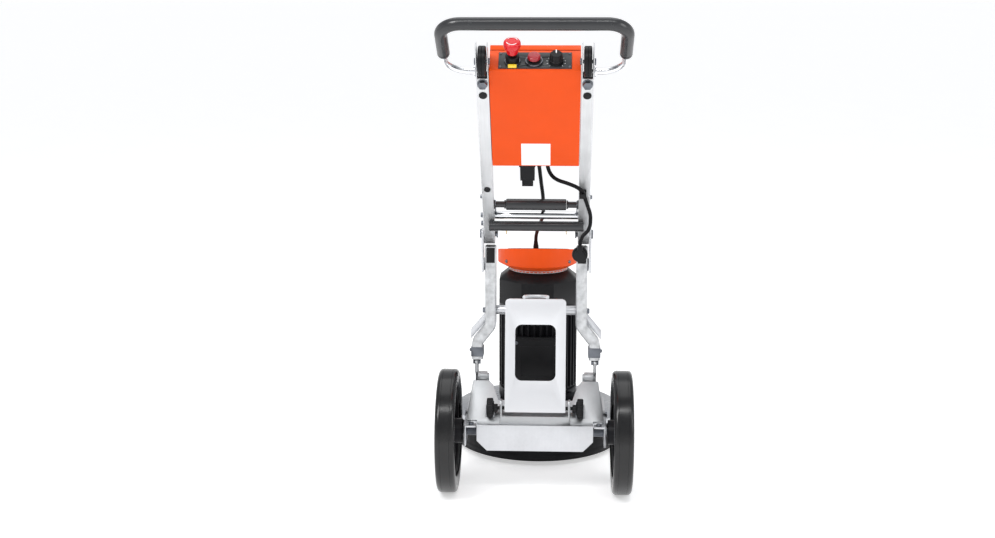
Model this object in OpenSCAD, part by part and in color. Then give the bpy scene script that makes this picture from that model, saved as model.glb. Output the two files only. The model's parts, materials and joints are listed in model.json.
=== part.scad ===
// Walk-behind concrete grinder with one grinding head and a folding frame.
// +X is the operator's right, +Y is forwards and +Z is up. The floor is z = 0.
// The origin is on the floor under the middle of the machine's outline.

/* [Wheels] */
// Diameter of a transport wheel
wheel_d = 280; // [270:1:284]
// Width of a tyre's tread
wheel_w = 44; // [40:1:44]
// Distance from the machine's middle to the middle of a tread
wheel_x = 196; // [192:1:198]

/* [Grinding head] */
// Distance from the wheel axle forward to the grinding head's axis
head_dy = 367; // [360:1:375]
// Outer radius of the floating skirt
skirt_r = 205; // [205:1:208]
// Radius of the tool plate that carries the diamond segments
tool_r = 140; // [120:1:160]
// Number of diamond segments
segment_count = 10; // [6:1:14]
// Travel of the floating skirt
skirt_travel = 16; // [8:1:18]

/* [Motor] */
// Radius of the motor over its cooling fins
motor_r = 97; // [94:1:98]
// Number of cooling fins
fin_count = 40; // [28:1:44]
// Radius of the fan hood
hood_r = 100; // [98:1:102]

/* [Folding frame] */
// Distance from the machine's middle to the middle of a post
post_x = 105; // [105:1:106]
// Width of the square post and leg tube
post_w = 25; // [24:1:25]
// Angle that the posts lean back
lean = 37; // [35:1:38]
// Length of a post above its reference point
post_top = 507; // [505:1:515]

/* [Control box] */
// Width of the control box
box_w = 183; // [176:1:183]
// Place of the box's lower end along the posts
box_t0 = 193; // [188:1:200]
// Place of the box's upper end along the posts
box_t1 = 455; // [450:1:456]
// Depth of the box's shell
box_depth = 63; // [60:1:63]

/* [Handle] */
// Outer width of the handle
handle_w = 380; // [366:1:384]
// Diameter of the handle's grip
grip_d = 25; // [22:1:28]
// Angle of the handle from upright
handle_tilt = 58; // [56:1:64]
// Distance from the handle's pivot to its bar
handle_rise = 181.7; // [175:0.1:185]

/* [Hidden] */
$fn = 64;

wheel_r = wheel_d / 2;
axle_r = 10;
running = 0.05;
post_dy = 33.6;
post_z = 610;
handle_t = 443;
rear_reach = grip_d / 2 + sin(handle_tilt) * handle_rise + sin(lean) * handle_t - post_dy;
front_reach = head_dy + skirt_r;
axle_y = (rear_reach - front_reach) / 2;
head_y = axle_y + head_dy;

// Chassis
plate_x = 158;
plate_t = 5;
plate_z0 = 113;
plate_z1 = 163;
deck_angle = 50;
deck_y = axle_y - 22;
deck_z = 161;
ear_x = 135;
ear_t = 6;
leg_y = axle_y + 50;
leg_x2 = 133;
leg_z0 = 297;
leg_z1 = 376;
leg_z2 = 337;
leg_top = 558;
connector_x = 97.5;
connector_z = 544;
tube_wall = 2.5;

// Head and motor heights
cover_z0 = 80;
cover_z1 = 92;
bowl_r = 190;
bowl_z0 = 45;
skirt_z0 = 12;
boss_r = 118;
outlet_dy = 158;
outlet_r = 25;
outlet_bore = 21;
shaft_r = 14;
bearing_r = 31;
motor_z0 = 125;
motor_z1 = 365;
shoulder_z1 = 445;
hood_z0 = 450;
hood_z1 = 493;
hood_tilt = 11;
entry_tilt = 37.2;
terminal_z0 = 190;
terminal_z1 = 296;

// Fold pivot and latch
fold_t = -30;
fold_y = axle_y + post_dy - fold_t * sin(lean);
fold_z = post_z + fold_t * cos(lean);
pin_r = 6;
latch_r = 5;
latch_t = -8;
bar_t = 20;
bar_r = 11;
release_t = 64;
rod_t = 30;
roller_t = 468;
roller_r = 31;

// Swing bracket
bracket_y = axle_y - 18;
bracket_z = 200;
bracket_tilt = 10.3;
knob_stem_r = 4;

// Controls, across the machine and along the panel's depth
control_y = 12.5;
stop_x = -45;
start_x = -2;
speed_x = 42;
stem_r = 5;
panel_t = 2;

// The handle's tube, its bends and where its grip starts
tube_r = 7;
bend_top = 40;
bend_low = 47;
grip_z0 = 68;

// Routes of the two cables, in millimetres from the axle's line
cable_r = 4.2;
motor_cable = [
    [6, -55, 767.4], [6, -47.8, 757.8], [8, -33, 738], [11, -11, 708.5], [14, 14, 681],
    [15, 42, 657.5], [15, 74, 636], [13, 108, 618], [10, 142, 603], [7, 176, 589.5],
    [3, 208, 576], [-1, 238, 561], [-4, 262, 545.5], [-5, 279, 530], [-5, 291.6, 513.4]
];
link_cable = [
    [24, -55, 767.4], [24, -47.8, 757.8], [25.5, -42, 747.5], [30, -41, 736], [38, -44, 726.5],
    [50, -51, 720.5], [65, -58, 716.5], [80, -62.5, 711.5], [88.5, -63, 707.5],
    [95.5, -61, 702.5], [100.5, -57.5, 697], [103, -53.3, 691.3], [105, -49, 684.5],
    [108.5, -43.5, 674], [112.5, -37, 662], [116.5, -30, 650], [118.7, -24, 639],
    [119, -19, 629.5], [118.6, -15.8, 620], [116.8, -13.2, 612], [113.8, -7.9, 604],
    [108.3, 2, 596], [102.7, 11.9, 588], [99.7, 17.2, 580], [97.5, 21, 573], [97.5, 21, 566]
];

// Placement helpers

module on_side(side) {
    if (side > 0) children();
    else mirror([1, 0, 0]) children();
}

module both_sides() {
    children();
    mirror([1, 0, 0]) children();
}

// Local frame of the posts: z runs up along them and -y faces the operator
module on_post(t) {
    translate([0, axle_y + post_dy, post_z]) rotate([lean, 0, 0]) translate([0, 0, t]) children();
}

// Local frame of the handle: z runs from its pivot to its bar
module on_handle() {
    translate([0, axle_y + post_dy - sin(lean) * handle_t, post_z + cos(lean) * handle_t])
        rotate([handle_tilt, 0, 0]) children();
}

// Local frame of the swing bracket: z runs up along it
module on_bracket() {
    translate([0, bracket_y, bracket_z]) rotate([-bracket_tilt, 0, 0]) children();
}

// A cylinder that lies along X
module rod_x(r, x0, x1) {
    translate([x0, 0, 0]) rotate([0, 90, 0]) cylinder(r = r, h = x1 - x0);
}

module block(x0, x1, y0, y1, z0, z1) {
    translate([x0, y0, z0]) cube([x1 - x0, y1 - y0, z1 - z0]);
}

module ring(r, hole_r, h) {
    difference() {
        cylinder(r = r, h = h);
        translate([0, 0, -1]) cylinder(r = hole_r, h = h + 2);
    }
}

// An upright outline in X and Z, thickness t towards -Y from y
module slab_xz(y, t) {
    translate([0, y, 0]) rotate([90, 0, 0]) linear_extrude(t) children();
}

// An upright outline in Y and Z, from x0 to x1
module slab_yz(x0, x1) {
    translate([x0, 0, 0]) rotate([90, 0, 90]) linear_extrude(x1 - x0) children();
}

// A hexagon bolt head with a washer, on +X
module bolt_x(x, y, z, size) {
    translate([x, y, z]) rotate([0, 90, 0]) {
        cylinder(r = size * 0.75, h = 1.2);
        cylinder(r = size * 0.62, h = 1 + size * 0.5, $fn = 6);
    }
}

function arc(cx, cy, r, a0, a1, n) =
    [for (i = [0:n]) let (a = a0 + (a1 - a0) * i / n) [cx + r * cos(a), cy + r * sin(a)]];

function unit(v) = v / norm(v);

// Direction of a route at its point i
function heading(p, i) = unit(p[min(i + 1, len(p) - 1)] - p[max(i - 1, 0)]);

// One round section of a cable, square to its route
function section(p, i, r, n, ref) =
    let (d = heading(p, i), u = unit(cross(d, ref)), v = cross(d, u))
    [for (k = [0:n - 1]) let (a = 360 * k / n) p[i] + r * (cos(a) * u + sin(a) * v)];

// A cable swept along its route, closed at both ends
module cable(p, r, ref) {
    n = 8;
    last = (len(p) - 1) * n;
    points = [for (i = [0:len(p) - 1]) each section(p, i, r, n, ref)];
    sides = [for (i = [0:len(p) - 2]) for (k = [0:n - 1])
        let (a = i * n + k, b = i * n + (k + 1) % n) [a, a + n, b + n, b]];
    first_cap = [for (k = [0:n - 1]) k];
    last_cap = [for (k = [0:n - 1]) last + n - 1 - k];
    translate([0, axle_y, 0]) polyhedron(points, concat(sides, [first_cap, last_cap]));
}

// Chassis

module side_plate() {
    taper_y = head_y - 132;
    difference() {
        slab_yz(plate_x - plate_t / 2, plate_x + plate_t / 2)
            polygon([[axle_y - 30, plate_z0], [taper_y - 12, plate_z0], [taper_y, cover_z1],
                [head_y - 30, cover_z1], [head_y - 30, cover_z1 + 20], [taper_y - 30, plate_z1],
                [axle_y - 30, plate_z1]]);
        translate([0, axle_y, wheel_r]) rod_x(axle_r, plate_x - 10, plate_x + 10);
    }
    tab_x = 133;
    block(tab_x, plate_x - plate_t / 2, axle_y - 30, axle_y - 10, plate_z1 - 6.2, plate_z1 - 2.2);
    block(tab_x, plate_x - plate_t / 2, head_y - 80, head_y - 40, cover_z1, cover_z1 + 5);
}

module side_plate_left() {
    color("gainsboro") on_side(-1) side_plate();
}

module side_plate_right() {
    color("gainsboro") on_side(1) side_plate();
}

module rear_apron() {
    half_w = 131;
    low_z = 104;
    cut = 23;
    color("gainsboro") slab_xz(deck_y - 8.2, 4)
        polygon([[-half_w, deck_z], [-half_w, low_z + cut], [cut - half_w, low_z],
            [half_w - cut, low_z], [half_w, low_z + cut], [half_w, deck_z]]);
    color("gainsboro") block(-half_w, half_w, deck_y - 12.2, deck_y - 3, deck_z, deck_z + 3);
}

module deck_sheet() {
    length = 108;
    half_low = 155;
    half_high = 143;
    step_x = 131;
    step = 9;
    notch = 96;
    // Slots that the bracket's knobs turn in
    slot_x = 91.5;
    slot_w = 19.5;
    slot_low = 17.5;
    slot_high = 48;
    color("silver") translate([0, deck_y, deck_z]) rotate([deck_angle, 0, 0])
        linear_extrude(4) difference() {
            polygon([[-step_x, 0], [step_x, 0], [step_x, step], [half_low, step],
                [half_high, length], [notch + 10, length], [notch, length - 12],
                [notch - 12, length - 48], [12 - notch, length - 48], [-notch, length - 12],
                [-notch - 10, length], [-half_high, length], [-half_low, step], [-step_x, step]]);
            for (x = [slot_x, -slot_x - slot_w])
                translate([x, slot_low]) square([slot_w, slot_high - slot_low]);
        }
}

module axle() {
    color("dimgray") translate([0, axle_y, wheel_r]) rod_x(axle_r, -wheel_x - 17, wheel_x + 17);
}

module axle_caps() {
    color("dimgray") both_sides() translate([0, axle_y, wheel_r]) {
        rod_x(16, wheel_x + 17, wheel_x + 20);
    }
}

// A bent square tube in outline: upright, slanting out, and upright again
module leg_outline(half, top, bottom) {
    mitre = half * tan(atan((leg_x2 - post_x + 2.5) / (leg_z1 - leg_z2)) / 2);
    x1 = post_x - 2.5;
    polygon([[x1 - half, top], [x1 + half, top], [x1 + half, leg_z1 + mitre],
        [leg_x2 + half, leg_z2 + mitre], [leg_x2 + half, bottom], [leg_x2 - half, bottom],
        [leg_x2 - half, leg_z2 - mitre], [x1 - half, leg_z1 - mitre]]);
}

module leg() {
    half = post_w / 2;
    inner = half - tube_wall;
    difference() {
        slab_xz(leg_y + half, post_w) leg_outline(half, leg_top, leg_z0);
        slab_xz(leg_y + inner, 2 * inner) leg_outline(inner, leg_top + 1, leg_z0 - 1);
    }
}

module leg_left() {
    color("silver") on_side(-1) leg();
}

module leg_right() {
    color("silver") on_side(1) leg();
}

module leg_gussets() {
    x0 = post_x - 2.5 + post_w / 2;
    color("silver") both_sides() slab_xz(leg_y + 8, 5)
        polygon([[x0, 381], [x0, 404], [148.3, 364], [148.3, 342]]);
}

module leg_ears() {
    color("silver") both_sides() {
        slab_yz(ear_x - ear_t / 2, ear_x + ear_t / 2)
            polygon([[leg_y + 6, 163], [leg_y + 28, 163], [leg_y + 28, 290], [leg_y + 22, 297],
                [leg_y + 9, 297], [leg_y + 9, 330], [leg_y - 9, 330], [leg_y - 9, 297],
                [leg_y - 6, 297], [leg_y - 12, 290], [leg_y - 12, 268], [leg_y + 6, 256]]);
        block(ear_x, plate_x + plate_t / 2, leg_y + 6, leg_y + 28, 163, 168);
        translate([0, leg_y + 10, 250]) rod_x(13, ear_x - 24, ear_x - ear_t / 2);
        translate([0, leg_y + 10, 250]) rod_x(9, ear_x - 28, ear_x - 24);
    }
}

module leg_sleeves() {
    half = post_w / 2;
    color("gray") both_sides() difference() {
        block(leg_x2 - half - 1.5, leg_x2 + half + 1.5, leg_y - half - 1.5, leg_y + half + 1.5,
            304, 326);
        block(leg_x2 - half, leg_x2 + half, leg_y - half, leg_y + half, 303, 327);
    }
}

module leg_end_plugs() {
    color("black") both_sides() {
        block(post_x - 12, post_x + 7, leg_y - post_w / 2 - 3, leg_y - post_w / 2, 522, 556);
        block(post_x - 12.4, post_x + 7.4, leg_y - 9.9, leg_y + 9.9, 540, 559.5);
    }
    // The round connector on the right leg's rear face, with its cable boss
    color("black") translate([connector_x, leg_y - post_w / 2 - 3, connector_z]) {
        rotate([90, 0, 0]) {
            cylinder(r = 16.5, h = 9);
            cylinder(r = 17.5, h = 5);
            translate([0, 0, 9]) cylinder(r = 12.5, h = 9);
        }
        translate([0, -13.5, 6]) cylinder(r = 6, h = 16);
    }
}

module cross_tube() {
    x = post_x - 2.5 - post_w / 2;
    color("silver") translate([0, leg_y + 5, 410]) difference() {
        rod_x(10.5, -x, x);
        rod_x(8.5, -x - 1, x + 1);
    }
}

module frame_bolts() {
    color("dimgray") both_sides() {
        bolt_x(leg_x2 + post_w / 2 + 1.5, leg_y, 317, 6);
        bolt_x(ear_x + ear_t / 2, leg_y + 8, 287, 9);
        bolt_x(ear_x + ear_t / 2, leg_y + 16, 226, 9);
        bolt_x(post_x - 2.5 + post_w / 2, leg_y, 410, 10);
        bolt_x(plate_x + plate_t / 2, leg_y + 90, 138, 12);
        mirror([1, 0, 0]) bolt_x(ear_t / 2 - ear_x, leg_y + 8, 287, 9);
        translate([144, axle_y - 20, plate_z1 - 2.2]) cylinder(r = 6, h = 5, $fn = 6);
        translate([143, head_y - 60, cover_z1 + 5]) cylinder(r = 7, h = 6, $fn = 6);
    }
}

module pivot_plates() {
    x0 = post_x + post_w / 2 + 0.5;
    half = 13;
    color("silver") both_sides() difference() {
        union() {
            block(x0, x0 + 5, fold_y - half, fold_y + half, 500, fold_z);
            translate([0, fold_y, fold_z]) rod_x(half, x0, x0 + 5);
            block(post_x + 10, x0, fold_y - 8, fold_y + 6, 504, 530);
        }
        translate([0, fold_y, fold_z]) rod_x(pin_r, x0 - 1, x0 + 6);
    }
}

module fold_pins() {
    x0 = post_x - post_w / 2 - 3;
    color("dimgray") both_sides() translate([0, fold_y, fold_z]) {
        rod_x(pin_r, x0, post_x + post_w / 2 + 9);
        rod_x(10, post_x + post_w / 2 + 5.5, post_x + post_w / 2 + 9);
        rod_x(9, x0 - 3, x0);
    }
}

// Grinding head

module head_cover() {
    boss_top = motor_z0 - 12;
    color("silver") translate([0, head_y, 0]) difference() {
        union() {
            translate([0, 0, cover_z0]) cylinder(r = skirt_r, h = cover_z1 - cover_z0);
            translate([0, 0, bowl_z0]) cylinder(r = bowl_r, h = cover_z0 - bowl_z0);
            translate([0, 0, cover_z1]) cylinder(r = boss_r, h = motor_z0 - cover_z1);
        }
        translate([0, 0, bowl_z0 - 1]) cylinder(r = bowl_r - 8, h = cover_z0 - bowl_z0 + 1);
        translate([0, 0, cover_z0 - 1]) cylinder(r = boss_r - 14, h = boss_top - cover_z0 + 1);
        cylinder(r = shaft_r + 8, h = motor_z0 + 1);
        translate([0, outlet_dy, cover_z0 - 1]) cylinder(r = outlet_bore, h = 20);
    }
}

module dust_outlet() {
    color("black") translate([0, head_y + outlet_dy, cover_z1]) difference() {
        union() {
            cylinder(r = 34, h = 5);
            cylinder(r = outlet_r, h = 50);
        }
        translate([0, 0, -1]) cylinder(r = outlet_bore, h = 52);
    }
}

module skirt() {
    hem = 22;
    color("black") translate([0, head_y, skirt_z0]) {
        ring(skirt_r, skirt_r - 7, hem);
        translate([0, 0, hem])
            ring(skirt_r, bowl_r + 1, cover_z0 - skirt_z0 - hem - skirt_travel - 2);
    }
}

module tool_plate() {
    color("dimgray") translate([0, head_y, 0]) {
        difference() {
            union() {
                translate([0, 0, 12]) cylinder(r = tool_r, h = 10);
                translate([0, 0, 22]) cylinder(r = 34, h = 18);
            }
            translate([0, 0, 22]) cylinder(r = shaft_r, h = 30);
            for (i = [0:5]) rotate(60 * i) translate([85, 0, 0]) cylinder(r = 12, h = 40);
        }
    }
}

module diamond_segments() {
    color("goldenrod") translate([0, head_y, 0])
        for (i = [0:segment_count - 1]) rotate(360 / segment_count * (i + 0.5))
            translate([tool_r - 35, -7, 0]) cube([32, 14, 12]);
}

// Motor

module motor_housing() {
    shell_r = motor_r - 7;
    rim = 20;
    color([0.09, 0.09, 0.1]) translate([0, head_y, 0]) difference() {
        union() {
            translate([0, 0, motor_z0]) cylinder(r = motor_r, h = 24);
            translate([0, 0, motor_z0]) cylinder(r = shell_r, h = motor_z1 - motor_z0);
            translate([0, 0, motor_z1 - rim]) cylinder(r = motor_r, h = rim);
            for (i = [0:fin_count - 1]) rotate(360 / fin_count * (i + 0.5))
                translate([shell_r - 2, -1.5, motor_z0 + 30])
                    cube([9, 3, motor_z1 - motor_z0 - rim - 38]);
            for (a = [45:90:315]) rotate(a)
                translate([motor_r - 12, -14, motor_z0]) cube([30, 28, 22]);
        }
        translate([0, 0, motor_z0 + rim]) cylinder(r = shell_r - 6, h = motor_z1 - motor_z0 - 2 * rim);
        translate([0, 0, motor_z0 - 1]) cylinder(r = bearing_r, h = 40);
        translate([0, 0, motor_z1 - 30]) cylinder(r = bearing_r, h = 40);
        for (a = [45:90:315]) rotate(a)
            translate([motor_r + 9, 0, motor_z0 - 1]) cylinder(r = 4.5, h = 30);
    }
}

// The smooth eight-sided sleeve over the motor's upper end, and the gland on the hood
module motor_shoulder() {
    sleeve_z1 = 424;
    corner_r = (motor_r - 2) / cos(22.5);
    color([0.11, 0.11, 0.12]) translate([0, head_y, 0]) difference() {
        rotate(22.5) {
            translate([0, 0, motor_z1]) cylinder(r = corner_r, h = sleeve_z1 - motor_z1, $fn = 8);
            translate([0, 0, sleeve_z1])
                cylinder(r1 = corner_r, r2 = 76, h = shoulder_z1 - sleeve_z1, $fn = 8);
        }
        translate([0, 0, motor_z1 - 1]) cylinder(r = motor_r - 12, h = sleeve_z1 - motor_z1 - 5);
        translate([0, 0, motor_z1 - 1]) cylinder(r = 50, h = 90);
    }
    last = motor_cable[len(motor_cable) - 1];
    color([0.11, 0.11, 0.12]) difference() {
        translate(last + [0, axle_y, 0]) rotate([entry_tilt, 0, 0]) translate([0, 0, -17])
            cylinder(r = 6.5, h = 17);
        translate([0, head_y, 0]) hood_form(0);
    }
}

module terminal_box() {
    y0 = head_y - motor_r - 42;
    half = 55;
    z0 = terminal_z0;
    z1 = terminal_z1;
    color([0.07, 0.07, 0.08]) difference() {
        union() {
            block(-half, half, y0 + 3, head_y - motor_r + 22, z0 + 3, z1 - 3);
            block(-half - 3, half + 3, y0, y0 + 10, z0, z1);
            block(-half, half, y0 + 5, y0 + 12, z1, z1 + 4);
        }
        translate([0, head_y, z0 - 5]) cylinder(r = motor_r + 0.3, h = z1 - z0 + 10);
        block(-half + 4, half - 4, y0 + 4, head_y - motor_r - 4, z0 + 7, z1 - 7);
    }
}

// The hood's solid form, drawn in by d all round
module hood_form(d) {
    difference() {
        union() {
            translate([0, 0, hood_z0 + 15]) cylinder(r = hood_r - d, h = 60);
            translate([0, 0, hood_z0]) cylinder(r1 = 72 - d, r2 = hood_r - d, h = 15);
        }
        translate([0, 0, hood_z1 - d]) rotate([-hood_tilt, 0, 0])
            translate([-150, -150, 0]) cube([300, 300, 100]);
    }
}

module fan_hood() {
    color("orangered") translate([0, head_y, 0]) difference() {
        hood_form(0);
        hood_form(4);
        translate([0, 0, hood_z0 - 1]) cylinder(r = 60, h = 12);
    }
    color("black") translate([0, head_y, shoulder_z1]) ring(71, 62, hood_z0 - shoulder_z1);
}

module stator() {
    color("peru") translate([0, head_y, 190]) ring(motor_r - 13, 60, 150);
}

module motor_bearings() {
    color("silver") translate([0, head_y, 0]) {
        translate([0, 0, motor_z0 + 2]) ring(bearing_r, shaft_r + running, 16);
        translate([0, 0, motor_z1 - 18]) ring(bearing_r, shaft_r + running, 16);
    }
}

module rotor() {
    color("slategray") translate([0, head_y, 0]) {
        translate([0, 0, 22]) cylinder(r = shaft_r, h = 454);
        translate([0, 0, 195]) cylinder(r = 58, h = 140);
    }
}

module cooling_fan() {
    color("dimgray") translate([0, head_y, 454]) {
        ring(22, shaft_r, 20);
        for (i = [0:7]) rotate(45 * i) translate([21, -1.5, 8]) cube([40, 3, 12]);
    }
}

// Swing bracket

module bracket_base() {
    x0 = 74;
    slope = tan(deck_angle);
    lift = 4 / cos(deck_angle) + 0.3;
    foot_y = deck_y - (lift - 3) / slope;
    color("silver") both_sides() difference() {
        slab_yz(x0, x0 + 5)
            polygon([[deck_y - 9, deck_z + 3], [foot_y, deck_z + 3],
                [deck_y + 16, deck_z + lift + 16 * slope], [bracket_y + 14, bracket_z + 14],
                [bracket_y + 8, bracket_z + 19], [bracket_y - 8, bracket_z + 19],
                [deck_y - 9, bracket_z + 12]]);
        translate([0, bracket_y, bracket_z]) rod_x(knob_stem_r + running, x0 - 1, x0 + 6);
    }
    color("slategray") block(-x0, x0, deck_y - 9, deck_y - 6, deck_z + 3, bracket_z - 16);
}

// A square-cornered window with round corners of radius r
module window(w, z0, z1, r, y0, y1) {
    translate([0, y1, 0]) rotate([90, 0, 0]) {
        translate([-w / 2 + r, z0, 0]) cube([w - 2 * r, z1 - z0, y1 - y0]);
        translate([-w / 2, z0 + r, 0]) cube([w, z1 - z0 - 2 * r, y1 - y0]);
        for (x = [-w / 2 + r, w / 2 - r]) for (z = [z0 + r, z1 - r])
            translate([x, z, 0]) cylinder(r = r, h = y1 - y0);
    }
}

module swing_bracket() {
    half = 68;
    top = 246;
    low = -8;
    depth = 23.4;
    face = -14;
    r = 8;
    wire = 4;
    loop_r = 26;
    color("whitesmoke") on_bracket() {
        difference() {
            slab_xz(face + 3, 3) polygon(concat([[-half, low], [half, low]],
                arc(half - r, top - r, r, 0, 90, 6), arc(r - half, top - r, r, 90, 180, 6)));
            window(91, 63, 189, 15, face - 1, face + 4);
        }
        both_sides() difference() {
            slab_yz(half - 3, half)
                polygon([[face + 3, low], [8, low], [12, -2], [12, 190], [depth, 205],
                    [depth, top - r], [face + 3, top - r]]);
            rod_x(knob_stem_r + running, half - 5, half + 2);
        }
        block(r - half, half - r, face + 3, depth - 4, top - 3, top);
        translate([0, depth - 4, top + wire]) intersection() {
            rotate_extrude() translate([loop_r, 0]) circle(r = wire);
            translate([-40, 0, -10]) cube([80, 40, 20]);
        }
        both_sides() translate([loop_r, face + 6, top + wire]) rotate([-90, 0, 0])
            cylinder(r = wire, h = depth - 10 - face);
    }
}

// A fluted round knob whose stem is the bracket's hinge pin
module knob() {
    flutes = 20;
    translate([0, bracket_y, bracket_z]) {
        rod_x(knob_stem_r, 62, 96);
        rod_x(9, 84, 96);
        difference() {
            rod_x(22.5, 94, 108.5);
            for (i = [0:flutes - 1]) rotate([360 / flutes * i, 0, 0]) translate([0, 23.6, 0])
                rod_x(2, 93, 110);
        }
        rod_x(16, 92, 95);
    }
}

module knob_left() {
    color("black") on_side(-1) knob();
}

module knob_right() {
    color("black") on_side(1) knob();
}

// Wheels, drawn about the wheel's own axis with +x outwards

module tyre() {
    half = wheel_w / 2;
    r = 9;
    color([0.06, 0.06, 0.06]) translate([wheel_x, axle_y, wheel_r]) rotate([0, 90, 0])
        rotate_extrude() polygon(concat(
            [[104, 6 - half], [112, 1 - half], [124, -half]],
            arc(wheel_r - r, r - half, r, -90, 0, 5),
            arc(wheel_r - r, half - r, r, 0, 90, 5),
            [[124, half], [112, half - 1], [104, half - 6]]));
}

module wheel_disc() {
    color([0.1, 0.1, 0.1]) translate([wheel_x, axle_y, wheel_r]) rotate([0, 90, 0]) difference() {
        union() {
            translate([0, 0, -15]) ring(103.7, 92, 30);
            translate([0, 0, -5]) cylinder(r = 93, h = 10);
            translate([0, 0, -31]) cylinder(r = 28, h = 47);
            for (i = [0:5]) rotate(60 * i + 30) translate([26, -3, -12]) cube([67, 6, 24]);
        }
        translate([0, 0, -32]) cylinder(r = axle_r + running, h = 60);
        for (i = [0:5]) rotate(60 * i) translate([62, 0, -20]) cylinder(r = 15, h = 40);
    }
}

module tyre_left() {
    on_side(-1) tyre();
}

module wheel_left() {
    on_side(-1) wheel_disc();
}

module tyre_right() {
    on_side(1) tyre();
}

module wheel_right() {
    on_side(1) wheel_disc();
}

// Folding frame

// One post with its pivot bore, latch bore, release slot and roller fork
module post() {
    half = post_w / 2;
    inner = half - tube_wall;
    fork_t = roller_t - roller_r - 4;
    on_post(0) difference() {
        block(post_x - half, post_x + half, -half, half, fold_t - 20, post_top);
        block(post_x - inner, post_x + inner, -inner, inner, fold_t - 21, post_top + 1);
        block(post_x - inner, post_x + inner, -half - 1, half + 1, fork_t, post_top + 1);
        translate([0, 0, fold_t]) rod_x(pin_r + running, post_x - 20, post_x + 20);
        translate([0, 0, latch_t]) rod_x(latch_r + running, post_x - 20, post_x + 20);
        translate([0, 0, roller_t]) rod_x(4, post_x - 20, post_x + 20);
        translate([0, 0, handle_t]) rod_x(5 + running, post_x + 5, post_x + 20);
        block(post_x - half - 1, post_x - inner + 1, -7.5, 7.5, release_t - 8, release_t + 20);
    }
}

module post_left() {
    color("silver") on_side(-1) post();
}

module post_right() {
    color("silver") on_side(1) post();
}

module cross_bar() {
    x = post_x - 1;
    color("dimgray") on_post(bar_t) translate([0, -post_w / 2 - bar_r, 0]) rod_x(bar_r, -x, x);
}

module cross_rod() {
    x = post_x - post_w / 2;
    color("silver") on_post(rod_t) rod_x(8.5, -x, x);
}

module release_handle() {
    color([0.2, 0.2, 0.21]) on_post(release_t) {
        rod_x(7, -post_x + 8, post_x - 8);
        rod_x(12.5, -64, 64);
    }
}

// A sprung latch pin with its pull ring
module latch_pin() {
    x0 = post_x - post_w / 2;
    on_post(latch_t) {
        rod_x(latch_r, x0 - 22, post_x + post_w / 2 - 0.2);
        rod_x(8, x0 - 22, x0 - 17);
    }
}

module latch_pin_left() {
    color("goldenrod") on_side(-1) latch_pin();
}

module latch_pin_right() {
    color("goldenrod") on_side(1) latch_pin();
}

module rollers() {
    half = post_w / 2;
    color([0.2, 0.2, 0.22]) both_sides() on_post(roller_t) {
        difference() {
            rod_x(roller_r, post_x - 8, post_x + 8);
            rod_x(3.9, post_x - 9, post_x + 9);
        }
    }
    color("silver") both_sides() on_post(roller_t) {
        rod_x(3.9, post_x - half - 1.5, post_x + half + 1.5);
        rod_x(7, post_x + half, post_x + half + 4);
        rod_x(7, post_x - half - 0.9, post_x - half);
    }
}

module post_plugs() {
    half = post_w / 2;
    color("black") both_sides() on_post(390)
        translate([post_x, -half - 1.5, 0]) rotate([-90, 0, 0]) cylinder(r = 8.5, h = 1.5);
    color("black") mirror([1, 0, 0]) on_post(122)
        translate([post_x, -half - 1.5, 0]) rotate([-90, 0, 0]) cylinder(r = 7, h = 1.5);
}

module post_nuts() {
    half = post_w / 2;
    color("slategray") both_sides() {
        on_post(421) translate([post_x, -half, 0]) rotate([90, 0, 0]) {
            cylinder(r = 11, h = 1.5);
            cylinder(r = 10, h = 8, $fn = 6);
        }
        for (t = [rod_t, 4]) on_post(t) bolt_x(post_x + half, 0, 0, 9);
        on_post(release_t + 24) bolt_x(post_x + half, 0, 0, 7);
    }
}

module cable_clip() {
    color([0.75, 0.75, 0.77]) on_post(118) translate([post_x - 4, -post_w / 2, 0]) {
        block(-7.5, 7.5, -3, 0, -6, 6);
        block(-7.5, 7.5, -17, -14, -6, 6);
        block(-7.5, -5.5, -16, -1, -6, 6);
    }
}

// Control box, in the posts' frame

box_y0 = -post_w / 2;
box_y1 = box_y0 + box_depth;
cover_depth = 15;

module box_shell() {
    half = box_w / 2;
    wall = 2;
    color("orangered") on_post(0) difference() {
        block(-half, half, box_y0, box_y1, box_t0, box_t1);
        block(wall - half, half - wall, box_y0 + wall, box_y1 + 1, box_t0 + wall, box_t1 - wall);
        for (x = [stop_x, start_x, speed_x])
            translate([x, control_y, box_t1 - 5]) cylinder(r = 11, h = 10);
    }
}

module box_cover() {
    half = box_w / 2;
    color("orangered") on_post(0) difference() {
        block(-half, half, box_y1 + 1.5, box_y1 + 1.5 + cover_depth, box_t0, box_t1);
        block(2 - half, half - 2, box_y1, box_y1 + cover_depth - 1, box_t0 + 2, box_t1 - 2);
    }
    color("black") on_post(0) difference() {
        block(1 - half, half - 1, box_y1, box_y1 + 1.5, box_t0 + 1, box_t1 - 1);
        block(6 - half, half - 6, box_y1 - 1, box_y1 + 3, box_t0 + 6, box_t1 - 6);
    }
}

module control_panel() {
    color([0.18, 0.2, 0.21]) on_post(box_t1) difference() {
        block(-73, 73, -7.5, 41.5, 0, panel_t);
        for (x = [stop_x, start_x, speed_x])
            translate([x, control_y, -1]) cylinder(r = 11, h = 5);
    }
}

module bezel(x, r, h) {
    translate([x, control_y, panel_t]) ring(r, stem_r + running, h);
    translate([x, control_y, -14]) ring(10.8, stem_r + running, 14 + panel_t);
}

module button_bezels() {
    color([0.1, 0.1, 0.1]) on_post(box_t1) {
        bezel(stop_x, 14, 18);
        bezel(start_x, 15.5, 6);
        bezel(speed_x, 14.5, 4);
    }
}

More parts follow.
